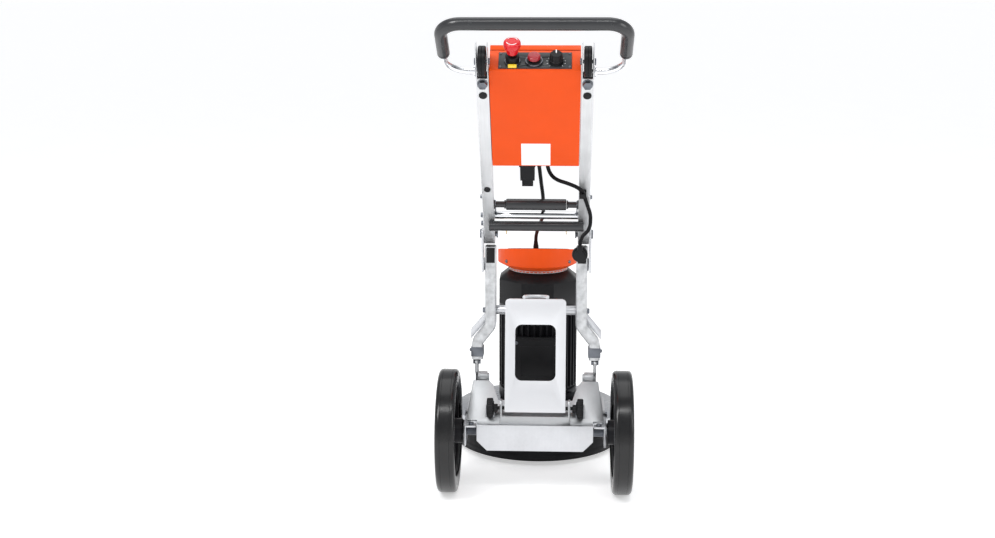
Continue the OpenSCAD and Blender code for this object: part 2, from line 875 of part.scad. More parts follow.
module stop_button() {
    color("red") on_post(box_t1 + panel_t) translate([stop_x, control_y, 0]) {
        translate([0, 0, -12]) cylinder(r = stem_r, h = 40);
        translate([0, 0, 23]) cylinder(r1 = 11, r2 = 14, h = 16);
        translate([0, 0, 39]) cylinder(r = 17.5, h = 7);
        translate([0, 0, 46]) cylinder(r1 = 17.5, r2 = 13, h = 6);
    }
}

module start_button() {
    color("crimson") on_post(box_t1 + panel_t) translate([start_x, control_y, 0]) {
        translate([0, 0, -12]) cylinder(r = stem_r, h = 24);
        translate([0, 0, 10]) cylinder(r = 13, h = 7);
    }
}

module speed_knob() {
    color("black") on_post(box_t1 + panel_t) translate([speed_x, control_y, 0]) {
        translate([0, 0, -12]) cylinder(r = stem_r, h = 20);
        difference() {
            translate([0, 0, 4.4]) cylinder(r = 14, h = 18);
            for (i = [0:11]) rotate(30 * i) translate([16.6, 0, 6]) cylinder(r = 4, h = 20);
        }
        translate([-1.5, 0, 22]) cube([3, 13, 2]);
    }
}

module power_inlet() {
    color("black") on_post(box_t0) translate([-18, 0, 0]) {
        block(-15.5, 15.5, -10, 18, -46, 0);
        block(-12, 12, -7, 15, -66, -46);
        block(-17.5, 17.5, -12, 20, -4, 0);
    }
}

module cable_glands() {
    color([0.12, 0.12, 0.12]) {
        for (x = [6, 24]) on_post(box_t0) translate([x, 24, -14]) {
            cylinder(r = 5, h = 6);
            translate([0, 0, 5]) cylinder(r = 7.5, h = 9, $fn = 6);
        }
    }
}

// Handle

// The handle's tube in outline: out from the posts, up both sides and across
module tube_path(r) {
    x_end = post_x + post_w / 2 + 0.5;
    both_sides() {
        rod_x(r, x_end, bar_x - bend_low);
        translate([bar_x - bend_low, 0, bend_low]) rotate([90, 0, 0]) intersection() {
            rotate_extrude() translate([bend_low, 0]) circle(r = r);
            translate([0, -100, -50]) cube([100, 100, 100]);
        }
        translate([bar_x, 0, bend_low]) cylinder(r = r, h = handle_rise - bend_top - bend_low);
        upper_bend(r);
    }
    bar(r);
}

module upper_bend(r) {
    translate([bar_x - bend_top, 0, handle_rise - bend_top]) rotate([90, 0, 0]) intersection() {
        rotate_extrude() translate([bend_top, 0]) circle(r = r);
        translate([0, 0, -50]) cube([100, 100, 100]);
    }
}

module bar(r) {
    translate([0, 0, handle_rise]) rod_x(r, bend_top - bar_x, bar_x - bend_top);
}

bar_x = handle_w / 2 - grip_d / 2;

module handle_tube() {
    color("silver") on_handle() {
        tube_path(tube_r);
        both_sides() rod_x(5, post_x + post_w / 2 - 4, post_x + post_w / 2 + 8);
        both_sides() rod_x(11, post_x + post_w / 2 + 0.5, post_x + post_w / 2 + 5);
    }
}

module handle_grip() {
    r = grip_d / 2;
    color([0.2, 0.2, 0.21]) on_handle() difference() {
        union() {
            both_sides() {
                translate([bar_x, 0, grip_z0]) cylinder(r = r, h = handle_rise - bend_top - grip_z0);
                upper_bend(r);
            }
            bar(r);
        }
        tube_path(tube_r);
    }
}

module cables() {
    color([0.1, 0.1, 0.1]) {
        cable(motor_cable, cable_r, [1, 0, 0]);
        cable(link_cable, cable_r, [0, 1, 0]);
    }
}

side_plate_left();
side_plate_right();
rear_apron();
deck_sheet();
axle();
axle_caps();
leg_left();
leg_right();
leg_gussets();
leg_ears();
leg_sleeves();
leg_end_plugs();
cross_tube();
frame_bolts();
pivot_plates();
fold_pins();
head_cover();
dust_outlet();
skirt();
tool_plate();
diamond_segments();
motor_housing();
motor_shoulder();
terminal_box();
fan_hood();
stator();
motor_bearings();
rotor();
cooling_fan();
bracket_base();
swing_bracket();
knob_left();
knob_right();
tyre_left();
wheel_left();
tyre_right();
wheel_right();
post_left();
post_right();
cross_bar();
cross_rod();
release_handle();
latch_pin_left();
latch_pin_right();
rollers();
post_plugs();
post_nuts();
cable_clip();
box_shell();
box_cover();
control_panel();
button_bezels();
stop_button();
start_button();
speed_knob();
power_inlet();
cable_glands();
handle_tube();
handle_grip();
cables();
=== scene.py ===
import json
import math

import bmesh
import bpy
from mathutils import Matrix, Vector


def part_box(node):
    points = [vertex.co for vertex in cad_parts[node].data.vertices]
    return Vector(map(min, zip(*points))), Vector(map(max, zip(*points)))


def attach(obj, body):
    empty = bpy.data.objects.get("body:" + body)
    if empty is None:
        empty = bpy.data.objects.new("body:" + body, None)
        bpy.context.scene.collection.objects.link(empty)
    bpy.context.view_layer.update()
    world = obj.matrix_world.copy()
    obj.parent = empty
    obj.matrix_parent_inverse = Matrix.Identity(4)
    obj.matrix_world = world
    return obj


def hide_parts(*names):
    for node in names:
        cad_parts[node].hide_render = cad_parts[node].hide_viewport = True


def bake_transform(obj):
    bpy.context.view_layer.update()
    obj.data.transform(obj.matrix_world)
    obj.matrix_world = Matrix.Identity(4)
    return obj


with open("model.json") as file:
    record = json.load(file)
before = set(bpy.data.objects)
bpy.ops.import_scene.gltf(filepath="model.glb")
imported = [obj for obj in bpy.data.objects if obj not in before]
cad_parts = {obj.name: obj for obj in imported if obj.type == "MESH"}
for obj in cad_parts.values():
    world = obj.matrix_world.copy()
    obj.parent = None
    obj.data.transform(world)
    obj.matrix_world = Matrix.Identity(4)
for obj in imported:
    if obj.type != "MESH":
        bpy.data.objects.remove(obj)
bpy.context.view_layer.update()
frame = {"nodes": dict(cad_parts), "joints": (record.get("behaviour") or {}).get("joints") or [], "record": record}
nodes = frame["nodes"]
joints = {j["name"]: j for j in frame["joints"]}
MM = 0.001

# Places, from the frame
axle = Vector(joints["wheel_left_spin"]["pos_m"])
head_y = joints["tool_spin"]["pos_m"][1]
fold = Vector(joints["frame_fold"]["pos_m"])
bracket_axis = Vector(joints["bracket_swing"]["pos_m"])
post_up = Vector(joints["release_pull"]["axis"]).normalized()
post_forward = Vector((0, post_up.z, -post_up.y))
post_zero = fold + post_up * 30 * MM  # the posts' own frame starts 30 mm above the fold
wheel_x = -axle.x
grip_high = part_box("handle_grip")[1]


def basis(origin, x, y, z):
    """The matrix of a local frame with those axes."""
    m = Matrix((x, y, z)).transposed().to_4x4()
    m.translation = origin
    return m


X = Vector((1, 0, 0))
Z = Vector((0, 0, 1))
POST = basis(post_zero, X, post_forward, post_up)
HEAD = Matrix.Translation((0, head_y, 0))


# Camera

LENS_MM = 50.3
camera_data = bpy.data.cameras.new("camera")
camera_data.lens = LENS_MM
camera_data.sensor_width = 36
camera = bpy.data.objects.new("camera", camera_data)
camera.location = (0.050, axle.y - 3.024, 1.120)
camera.rotation_euler = (math.radians(90 - 11.3), 0, math.radians(2.56))
bpy.context.scene.collection.objects.link(camera)
bpy.context.scene.camera = camera


# Mesh helpers


def piece(name, bm, material, body, smooth=35, matrix=None):
    """A finished piece from a bmesh, riding on a CAD body."""
    if matrix is not None:
        bm.transform(matrix)
    bmesh.ops.recalc_face_normals(bm, faces=bm.faces)
    mesh = bpy.data.meshes.new(name)
    bm.to_mesh(mesh)
    bm.free()
    mesh.materials.append(material)
    obj = bpy.data.objects.new(name, mesh)
    bpy.context.scene.collection.objects.link(obj)
    for polygon in mesh.polygons:
        polygon.use_smooth = True
    mesh.set_sharp_from_angle(angle=math.radians(smooth))
    if body:
        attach(obj, body)
    return obj


def lathe(bm, profile, matrix=None, turns=72):
    """Adds a closed round form: profile is (radius, height) from one end of the axis to the other."""
    rings = []
    matrix = matrix or Matrix.Identity(4)
    for r, z in profile:
        if r < 1e-7:
            rings.append([bm.verts.new(matrix @ Vector((0, 0, z)))])
            continue
        rings.append([
            bm.verts.new(matrix @ Vector((r * math.cos(a), r * math.sin(a), z)))
            for a in (2 * math.pi * i / turns for i in range(turns))
        ])
    for low, high in zip(rings, rings[1:]):
        for i in range(turns):
            j = (i + 1) % turns
            corners = [low[i % len(low)], low[j % len(low)], high[j % len(high)], high[i % len(high)]]
            corners = list(dict.fromkeys(corners))
            if len(corners) > 2:
                bm.faces.new(corners)
    if len(rings[0]) > 1 and len(rings[-1]) > 1 and profile[0] == profile[-1]:
        bmesh.ops.remove_doubles(bm, verts=rings[0] + rings[-1], dist=1e-7)


def rounded(x0, x1, r, radius, steps=5):
    """A profile of a bar of that radius from x0 to x1 along its axis, with ends rounded by r."""
    rise = [(radius - r + r * math.sin(a), x0 + r - r * math.cos(a))
            for a in (math.pi / 2 * i / steps for i in range(steps + 1))]
    fall = [(radius - r + r * math.sin(a), x1 - r + r * math.cos(a))
            for a in (math.pi / 2 * (1 - i / steps) for i in range(steps + 1))]
    return [(0, x0)] + rise + fall + [(0, x1)]


def box(bm, low, high, bevel=0.0, segments=2):
    """Adds a block with rounded edges."""
    made = bmesh.ops.create_cube(bm, size=1.0)
    size = Vector(high) - Vector(low)
    middle = (Vector(high) + Vector(low)) / 2
    for v in made["verts"]:
        v.co = Vector(a * b for a, b in zip(v.co, size)) + middle
    if bevel:
        edges = list({e for v in made["verts"] for e in v.link_edges})
        bmesh.ops.bevel(bm, geom=edges, offset=bevel, segments=segments, profile=0.5, affect="EDGES")


def turned_box(bm, low, high, bevel, matrix):
    """Adds a block with rounded edges that the matrix has put in its place."""
    block = bmesh.new()
    box(block, low, high, bevel, 1)
    block.transform(matrix)
    scratch = bpy.data.meshes.new("scratch")
    block.to_mesh(scratch)
    block.free()
    bm.from_mesh(scratch)
    bpy.data.meshes.remove(scratch)


def loft(bm, rings, caps=True):
    """Adds the walls between rings of corners, and a face over each end."""
    for low, high in zip(rings, rings[1:]):
        for i in range(len(low)):
            j = (i + 1) % len(low)
            bm.faces.new((low[i], low[j], high[j], high[i]))
    if caps:
        bm.faces.new(rings[0][::-1])
        bm.faces.new(rings[-1])


def smooth_route(points, per_span=8):
    """A Catmull-Rom curve through the points."""
    points = [Vector(p) for p in points]
    padded = [2 * points[0] - points[1]] + points + [2 * points[-1] - points[-2]]
    route = []
    for a, b, c, d in zip(padded, padded[1:], padded[2:], padded[3:]):
        for i in range(per_span):
            t = i / per_span
            route.append(0.5 * (2 * b + (c - a) * t + (2 * a - 5 * b + 4 * c - d) * t * t
                                + (3 * b - a - 3 * c + d) * t ** 3))
    return route + [points[-1]]


def sweep(bm, route, radius, turns=20, caps=True):
    """Adds a tube along a route. Its radius is a number, or a function of the run and the whole length."""
    tangents = [(b - a).normalized() for a, b in zip([route[0]] + route[:-1], route[1:] + [route[-1]])]
    normal = tangents[0].orthogonal().normalized()
    run = 0.0
    whole = sum((b - a).length for a, b in zip(route, route[1:]))
    rings = []
    for i, (point, tangent) in enumerate(zip(route, tangents)):
        if i:
            normal = (normal - tangent * normal.dot(tangent)).normalized()
            run += (point - route[i - 1]).length
        side = tangent.cross(normal)
        r = radius(run, whole) if callable(radius) else radius
        rings.append([bm.verts.new(point + r * (math.cos(a) * normal + math.sin(a) * side))
                      for a in (2 * math.pi * k / turns for k in range(turns))])
    loft(bm, rings, caps)


def along_x(origin):
    """A local frame whose z runs along +X."""
    return basis(origin, Vector((0, 1, 0)), Z, X)


# Materials


class Shader:
    """A short way to write a procedural material."""

    def __init__(self, name):
        self.material = bpy.data.materials.new(name)
        self.material.use_nodes = True
        self.tree = self.material.node_tree
        self.bsdf = self.tree.nodes["Principled BSDF"]
        self.place = self.tree.nodes.new("ShaderNodeTexCoord").outputs["Object"]

    def add(self, kind, **inputs):
        node = self.tree.nodes.new(kind)
        for key, value in inputs.items():
            self.feed(node.inputs[key], value)
        return node

    def feed(self, socket, value):
        if isinstance(value, bpy.types.NodeSocket):
            self.tree.links.new(value, socket)
        else:
            socket.default_value = value

    def stretched(self, scale):
        node = self.add("ShaderNodeMapping", Vector=self.place)
        node.inputs["Scale"].default_value = scale
        return node.outputs["Vector"]

    def noise(self, scale, detail=4.0, rough=0.55, stretch=None):
        place = self.stretched(stretch) if stretch else self.place
        node = self.add("ShaderNodeTexNoise", Vector=place)
        node.inputs["Scale"].default_value = scale
        node.inputs["Detail"].default_value = detail
        node.inputs["Roughness"].default_value = rough
        return node.outputs["Fac"]

    def span(self, value, low, high, at=(0.3, 0.7)):
        node = self.add("ShaderNodeMapRange", Value=value)
        node.inputs["From Min"].default_value = at[0]
        node.inputs["From Max"].default_value = at[1]
        node.inputs["To Min"].default_value = low
        node.inputs["To Max"].default_value = high
        return node.outputs["Result"]

    def mix(self, share, a, b):
        node = self.tree.nodes.new("ShaderNodeMix")
        node.data_type = "RGBA"
        self.feed(node.inputs["Factor"], share)
        self.feed(node.inputs["A"], a)
        self.feed(node.inputs["B"], b)
        return node.outputs["Result"]

    def worn_edge(self, radius):
        """About 1 at sharp outer edges and 0 on flat faces."""
        bevel = self.add("ShaderNodeBevel")
        bevel.samples = 4
        bevel.inputs["Radius"].default_value = radius
        flat = self.tree.nodes.new("ShaderNodeNewGeometry")
        dot = self.tree.nodes.new("ShaderNodeVectorMath")
        dot.operation = "DOT_PRODUCT"
        self.feed(dot.inputs[0], bevel.outputs["Normal"])
        self.feed(dot.inputs[1], flat.outputs["Normal"])
        return self.span(dot.outputs["Value"], 1.0, 0.0, at=(0.80, 0.98))

    def bump(self, height, strength, distance):
        node = self.add("ShaderNodeBump", Height=height)
        node.inputs["Strength"].default_value = strength
        node.inputs["Distance"].default_value = distance
        self.tree.links.new(node.outputs["Normal"], self.bsdf.inputs["Normal"])


def shade(colour, factor):
    return tuple(min(1.0, c * factor) for c in colour[:3]) + (1.0,)


def finish(name, colour, rough, metal=0.0, spread=0.12, patch=14.0, grain=900.0, relief=0.15,
           depth=0.0002, stretch=None, wear=0.0, wear_colour=None, rough_spread=0.08, coat=0.0,
           specular=0.5):
    """A material with patchy colour, uneven gloss, fine grain and, where asked, worn edges."""
    s = Shader(name)
    patches = s.noise(patch, 5.0, 0.6)
    fine = s.noise(grain, 3.0, 0.6, stretch)
    base = s.mix(s.span(patches, 0.0, 1.0), shade(colour, 1 - spread), shade(colour, 1 + spread))
    if stretch:
        base = s.mix(s.span(fine, 0.0, 0.35), base, shade(colour, 0.82))
    if wear:
        broken = s.span(s.noise(220.0, 3.0), 0.2, 1.0, at=(0.4, 0.6))
        edge = s.tree.nodes.new("ShaderNodeMath")
        edge.operation = "MULTIPLY"
        s.feed(edge.inputs[0], s.worn_edge(0.0009))
        s.feed(edge.inputs[1], broken)
        share = s.span(edge.outputs["Value"], 0.0, wear, at=(0.0, 1.0))
        base = s.mix(share, base, wear_colour or shade(colour, 1.8))
    s.feed(s.bsdf.inputs["Base Color"], base)
    gloss = s.noise(patch * 4, 6.0, 0.65)
    s.feed(s.bsdf.inputs["Roughness"],
           s.span(gloss, max(0.03, rough - rough_spread), rough + rough_spread, at=(0.35, 0.65)))
    s.bsdf.inputs["Metallic"].default_value = metal
    s.bsdf.inputs["Specular IOR Level"].default_value = specular
    s.bsdf.inputs["Coat Weight"].default_value = coat
    s.bsdf.inputs["Coat Roughness"].default_value = 0.12
    s.bump(fine, relief, depth)
    return s.material


def spangled_zinc(name, colour, rough):
    """Zinc-plated sheet: cloudy crystals, fine rolling lines and small rubs."""
    s = Shader(name)
    crystals = s.add("ShaderNodeTexVoronoi", Vector=s.place)
    crystals.inputs["Scale"].default_value = 160.0
    cloud = s.noise(9.0, 6.0, 0.6)
    lines = s.noise(260.0, 2.0, 0.5, (1.0, 0.04, 0.04))
    tone = s.mix(s.span(cloud, 0.0, 1.0), shade(colour, 0.86), shade(colour, 1.08))
    tone = s.mix(s.span(crystals.outputs["Distance"], 0.0, 0.10, at=(0.0, 0.7)), tone, shade(colour, 1.25))
    tone = s.mix(s.span(lines, 0.0, 0.07), tone, shade(colour, 0.7))
    s.feed(s.bsdf.inputs["Base Color"], tone)
    s.feed(s.bsdf.inputs["Roughness"], s.span(cloud, rough - 0.07, rough + 0.09))
    s.bsdf.inputs["Metallic"].default_value = 0.85
    s.bump(lines, 0.10, 0.0002)
    return s.material


def tyre_rubber(name):
    """Solid rubber: matt, a little dusty, with fine moulding lines round the tread."""
    s = Shader(name)
    dust = s.noise(30.0, 6.0, 0.7)
    grain = s.noise(1400.0, 2.0)
    tone = s.mix(s.span(dust, 0.0, 0.5), (0.003, 0.003, 0.0035, 1), (0.011, 0.011, 0.011, 1))
    s.bsdf.inputs["Specular IOR Level"].default_value = 0.45
    s.feed(s.bsdf.inputs["Base Color"], tone)
    s.feed(s.bsdf.inputs["Roughness"], s.span(dust, 0.18, 0.25))
    s.bump(grain, 0.10, 0.0003)
    return s.material


def foam_grip(name, colour):
    """Closed-cell foam: soft sheen and tiny pits."""
    s = Shader(name)
    pits = s.add("ShaderNodeTexVoronoi", Vector=s.place)
    pits.inputs["Scale"].default_value = 700.0
    cloud = s.noise(20.0, 5.0)
    s.feed(s.bsdf.inputs["Base Color"],
           s.mix(s.span(cloud, 0.0, 1.0), shade(colour, 0.85), shade(colour, 1.15)))
    s.feed(s.bsdf.inputs["Roughness"], s.span(cloud, 0.22, 0.28))
    s.bsdf.inputs["Specular IOR Level"].default_value = 0.55
    s.bump(pits.outputs["Distance"], 0.12, 0.0003)
    return s.material


WHITE_EDGE = (0.75, 0.75, 0.76, 1)
materials = {
    "zinc_steel": spangled_zinc("zinc_steel", (0.58, 0.59, 0.61), 0.36),
    "white_steel": finish("white_steel", (0.66, 0.67, 0.69), 0.34, 0.35, 0.012, relief=0.02,
                          coat=0.2, grain=900.0, rough_spread=0.02),
    "grey_tube": finish("grey_tube", (0.64, 0.65, 0.66), 0.36, 0.65, 0.07, patch=22.0,
                        stretch=(1.0, 0.05, 0.05), grain=300.0, wear=0.6, wear_colour=WHITE_EDGE),
    "cast_leg": finish("cast_leg", (0.50, 0.51, 0.52), 0.40, 0.6, 0.28, patch=60.0, grain=420.0,
                       relief=0.35, wear=0.4, wear_colour=WHITE_EDGE),
    "orange_paint": finish("orange_paint", (0.72, 0.072, 0.005), 0.44, 0.0, 0.03, relief=0.22,
                           grain=650.0, depth=0.00025, wear=0.18, wear_colour=(0.90, 0.18, 0.04, 1),
                           specular=0.18),
    "black_casting": finish("black_casting", (0.008, 0.008, 0.010), 0.42, 0.0, 0.25, relief=0.4,
                            grain=420.0, depth=0.0004, wear=0.25, wear_colour=(0.05, 0.05, 0.06, 1),
                            specular=0.14),
    "black_plastic": finish("black_plastic", (0.009, 0.009, 0.010), 0.38, 0.0, 0.2, relief=0.25,
                            grain=1100.0, wear=0.2, wear_colour=(0.04, 0.04, 0.045, 1), specular=0.18),
    "dark_rubber": finish("dark_rubber", (0.005, 0.005, 0.006), 0.44, 0.0, 0.25, relief=0.25,
                          grain=1200.0, specular=0.12),
    "grip_foam": foam_grip("grip_foam", (0.017, 0.018, 0.020)),
    "tyre": tyre_rubber("tyre"),
    "dark_steel": finish("dark_steel", (0.15, 0.16, 0.18), 0.35, 0.9, 0.2, relief=0.15, wear=0.5,
                         wear_colour=(0.6, 0.6, 0.62, 1)),
    "chrome_tube": finish("chrome_tube", (0.80, 0.81, 0.83), 0.12, 1.0, 0.03, relief=0.04,
                          stretch=(1.0, 0.1, 0.1), grain=200.0, rough_spread=0.04),
    "brass": finish("brass", (0.62, 0.44, 0.20), 0.30, 0.95, 0.15, relief=0.15),
    "panel_grey": finish("panel_grey", (0.030, 0.034, 0.037), 0.45, 0.0, 0.12, relief=0.25,
                         grain=900.0, specular=0.35),
    "red_plastic": finish("red_plastic", (0.60, 0.004, 0.010), 0.24, 0.0, 0.05, relief=0.05,
                          coat=0.35, specular=0.35),
    "copper": finish("copper", (0.60, 0.26, 0.10), 0.35, 0.9, 0.15, relief=0.4,
                     stretch=(1.0, 1.0, 0.1), grain=300.0),
    "steel": finish("steel", (0.46, 0.47, 0.49), 0.33, 0.95, 0.10, relief=0.2,
                    stretch=(1.0, 1.0, 0.2), grain=250.0),
    # A darker copy of the bright zinc: painted shade for sheet that lies in shadow
    "painted_shade_zinc": spangled_zinc("painted_shade_zinc", (0.40, 0.41, 0.42), 0.40),
    "crimson": finish("crimson", (0.30, 0.004, 0.012), 0.3, 0.0, 0.05, relief=0.05, coat=0.2),
    "guard_grey": finish("guard_grey", (0.50, 0.51, 0.52), 0.4, 0.2, 0.06, grain=700.0),
    "yellow_tag": finish("yellow_tag", (0.85, 0.60, 0.04), 0.4, 0.0, 0.05, grain=700.0),
    "label_white": finish("label_white", (0.86, 0.87, 0.88), 0.35, 0.0, 0.02, relief=0.05),
    "pointer_white": finish("pointer_white", (0.85, 0.85, 0.86), 0.4, 0.0, 0.03),
    "dark_gap": finish("dark_gap", (0.005, 0.005, 0.006), 0.6, 0.0, 0.2, specular=0.08),
}


# CAD nodes: materials by slot, and softened edges


def dress(node, material, bevel_mm):
    """Gives a CAD node its material and softens its edges."""
    obj = nodes[node]
    obj.data.materials.clear()
    obj.data.materials.append(material)
    for polygon in obj.data.polygons:
        polygon.use_smooth = True
    if bevel_mm:
        weld = obj.modifiers.new("weld", "WELD")
        weld.merge_threshold = 1e-6
        bevel = obj.modifiers.new("bevel", "BEVEL")
        bevel.width = bevel_mm * MM
        bevel.segments = 2
        bevel.limit_method = "ANGLE"
        bevel.angle_limit = math.radians(35)
        bevel.harden_normals = True


# Edge rounding in millimetres
PLAIN_BEVEL = 0.4
BEVELS = {
    "swing_bracket": 1.2, "deck_sheet": 0.8, "rear_apron": 0.8, "box_shell": 1.8, "box_cover": 1.8,
    "post_left": 1.1, "post_right": 1.1, "motor_housing": 0.5, "motor_shoulder": 1.5,
    "cables": 0, "stator": 0, "rotor": 0, "motor_bearings": 0, "leg_sleeves": 0.8,
}
# Plain zinc sheet in shade, given a greyer copy of the zinc than the bright parts round it: painted shade
PAINTED_SHADE_SHEET = {"deck_sheet", "leg_ears", "bracket_base"}
for part in frame["record"]["subparts"]:
    look = "painted_shade_zinc" if part["node"] in PAINTED_SHADE_SHEET else part["material_slot"]
    dress(part["node"], materials[look], BEVELS.get(part["node"], PLAIN_BEVEL))


# Wheels

SHOULDER_R = 0.009


def tyre(side):
    """A solid tyre with a plain tread, rounded shoulders and ribbed walls."""
    name = "left" if side < 0 else "right"
    low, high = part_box("tyre_" + name)
    r = (high.z - low.z) / 2
    half = (high.x - low.x) / 2
    wall = [(0.104, half - 0.006), (0.107, half - 0.003), (0.112, half - 0.0012), (0.1135, half - 0.0022),
            (0.115, half - 0.0012), (0.121, half - 0.0004), (0.1225, half - 0.0016), (0.124, half - 0.0004),
            (r - SHOULDER_R, half)]
    shoulder = [(r - SHOULDER_R + SHOULDER_R * math.sin(a), half - SHOULDER_R + SHOULDER_R * math.cos(a))
                for a in (math.pi / 2 * i / 6 for i in range(1, 6))]
    tread = [(r, half - SHOULDER_R), (r, half - 0.0110), (r - 0.0004, half - 0.0115),
             (r, half - 0.0120), (r, 0.0)]
    outer = wall + shoulder + tread
    profile = outer + [(a, -b) for a, b in outer[::-1]][1:]
    bm = bmesh.new()
    lathe(bm, profile + [profile[0]], along_x((side * wheel_x, axle.y, axle.z)), 128)
    made = piece("solid_tyre_" + name, bm, materials["tyre"], "wheel_" + name, 30)
    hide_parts("tyre_" + name)


for side in (-1, 1):
    tyre(side)


# Handle: bent tube and foam grip


def corner(middle, radius, start, stop, steps=12):
    """Points of a bend in the handle's own X and Z plane."""
    return [(middle[0] + radius * math.cos(a), 0, middle[1] + radius * math.sin(a))
            for a in (math.radians(start + (stop - start) * i / steps) for i in range(steps + 1))]


handle_pivot = Vector(joints["handle_tilt"]["pos_m"])
handle_lean = math.radians(58)
handle_up = Vector((0, -math.sin(handle_lean), math.cos(handle_lean)))
HANDLE = basis(handle_pivot, X, Vector((0, handle_up.z, -handle_up.y)), handle_up)
GRIP_R = 0.0125
GRIP_END_R = 0.003
TUBE_R = 0.007
BEND_TOP = 0.040
BEND_LOW = 0.047
GRIP_START = 0.068
SEAT_X = 0.1135
rise = (grip_high.z - GRIP_R - handle_pivot.z) / handle_up.z
bar_x = grip_high.x - GRIP_R


def half_handle(sign, low_end):
    """One side of the handle's centre line, from low_end up to the bar's middle."""
    side = corner((bar_x - BEND_TOP, rise - BEND_TOP), BEND_TOP, 0, 90)
    return [(sign * x, y, z) for x, y, z in low_end + side] + [(0, 0, rise)]


def handle_route(low_end):
    """The whole centre line, left end to right end, in the frame of the scene."""
    left = half_handle(-1, low_end)
    right = half_handle(1, low_end)
    return [HANDLE @ Vector(p) for p in left + right[:-1][::-1]]


def handle():
    """The bright bent tube with a seat at each post, and the foam grip on it."""
    bm = bmesh.new()
    bend = corner((bar_x - BEND_LOW, BEND_LOW), BEND_LOW, -90, 0)
    sweep(bm, handle_route([(0.1180, 0, 0), (0.125, 0, 0)] + bend), TUBE_R, 28)
    for sign in (-1, 1):
        seat = HANDLE @ Matrix.Translation((sign * SEAT_X, 0, 0))
        seat = seat @ Matrix.Rotation(sign * math.pi / 2, 4, "Y")
        lathe(bm, rounded(0.0, 0.0045, 0.001, 0.005), seat, 40)
        lathe(bm, rounded(0.0046, 0.0090, 0.0012, 0.0112), seat, 40)
    tube = piece("bent_handle_tube", bm, materials["chrome_tube"], "handle")
    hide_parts("handle_tube")

    def grip_radius(run, whole):
        end = min(run, whole - run)
        if end < GRIP_END_R:
            return GRIP_R - GRIP_END_R + math.sqrt(max(0.0, GRIP_END_R ** 2 - (GRIP_END_R - end) ** 2))
        return GRIP_R - (0.0007 if 0.008 < end < 0.0095 else 0.0)

    bm = bmesh.new()
    rows_mm = (0, 0.6, 1.5, 3, 7.9, 8.1, 9.4, 9.6, 11.9, 12.1, 30)
    straight = [(bar_x, 0, GRIP_START + row * MM) for row in rows_mm]
    sweep(bm, handle_route(straight), grip_radius, 36)
    grip = piece("foam_handle_grip", bm, materials["grip_foam"], "handle", 40)
    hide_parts("handle_grip")


handle()


# Controls on the panel, in the posts' frame

PANEL_T = 0.457
CONTROL_Y = 0.0125
STOP_X, START_X, SPEED_X = -0.045, -0.002, 0.042
ARC_R, ARC_TOP, ARC_DEGREES = 0.0112, 0.0521, 120
DIAL_R, DIAL_FLUTES, FLUTE_DEPTH = 0.0138, 8, 0.0011
TICKS, TICK_DEGREES = 11, 27


def on_panel(x, lift=0.0, y=CONTROL_Y):
    """A local frame on the panel's face, with z standing off it."""
    return POST @ Matrix.Translation((x, y, PANEL_T + lift))


def stop_button():
    """A mushroom button with two arcs on its cap and a yellow tag below it."""
    bm = bmesh.new()
    cap = [(0, 0.0520), (0.0060, 0.0520), (0.0064, 0.0516), (0.0090, 0.0516), (0.0094, 0.0520),
           (0.0128, 0.0516), (0.0155, 0.0502), (0.0170, 0.0480), (0.0175, 0.0450), (0.0174, 0.0410),
           (0.0168, 0.0392), (0.0150, 0.0385), (0.0138, 0.0378), (0.0128, 0.0330), (0.0112, 0.0235),
           (0.0105, 0.0230), (0.0050, 0.0230), (0.0050, -0.012), (0, -0.012)]
    lathe(bm, cap, on_panel(STOP_X))
    made = piece("stop_mushroom", bm, materials["red_plastic"], "stop_button")
    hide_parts("stop_button")
    bm = bmesh.new()
    for start in (20, 200):
        arc = [on_panel(STOP_X) @ Vector((ARC_R * math.cos(a), ARC_R * math.sin(a), ARC_TOP))
               for a in (math.radians(start + ARC_DEGREES * i / 14) for i in range(15))]
        sweep(bm, arc, 0.0007, 8)
    arcs = piece("turn_arcs", bm, materials["pointer_white"], "stop_button")
    bm = bmesh.new()
    box(bm, (-0.0085, -0.0165, 0.0006), (0.0085, -0.0105, 0.0060), 0.0006)
    tag = piece("stop_tag", bm, materials["yellow_tag"], "upper_frame", matrix=on_panel(STOP_X, 0, 0.0085))


def start_button():
    """A low round button."""
    bm = bmesh.new()
    cap = [(0, 0.0172), (0.0085, 0.0171), (0.0112, 0.0166), (0.0126, 0.0155), (0.0130, 0.0138),
           (0.0130, 0.0102), (0.0122, 0.0098), (0.0050, 0.0096), (0.0050, -0.012), (0, -0.012)]
    lathe(bm, cap, on_panel(START_X))
    made = piece("start_cap", bm, materials["crimson"], "start_button")
    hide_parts("start_button")


def speed_knob():
    """A fluted knob with a skirt and a white pointer line."""
    bm = bmesh.new()
    turns = 96
    heights = [(0.0044, 1.0), (0.0050, 1.04), (0.0075, 1.04), (0.0082, 0.96), (0.0185, 0.90),
               (0.0205, 0.86), (0.0216, 0.78)]
    rings = []
    for level, (z, share) in enumerate(heights):
        ring = []
        for i in range(turns):
            a = 2 * math.pi * i / turns
            flute = FLUTE_DEPTH * max(0.0, math.cos(DIAL_FLUTES * a)) if level > 2 else 0.0
            r = DIAL_R * share - flute
            ring.append(bm.verts.new(on_panel(SPEED_X) @ Vector((r * math.cos(a), r * math.sin(a), z))))
        rings.append(ring)
    loft(bm, rings)
    lathe(bm, rounded(-0.012, 0.0045, 0.0005, 0.005), on_panel(SPEED_X), 32)
    made = piece("fluted_speed_knob", bm, materials["black_plastic"], "speed_knob")
    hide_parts("speed_knob")
    bm = bmesh.new()
    box(bm, (-0.0011, 0.001, 0.0214), (0.0011, 0.0105, 0.0226), 0.0004)
    line = piece("speed_pointer", bm, materials["pointer_white"], "speed_knob", matrix=on_panel(SPEED_X))


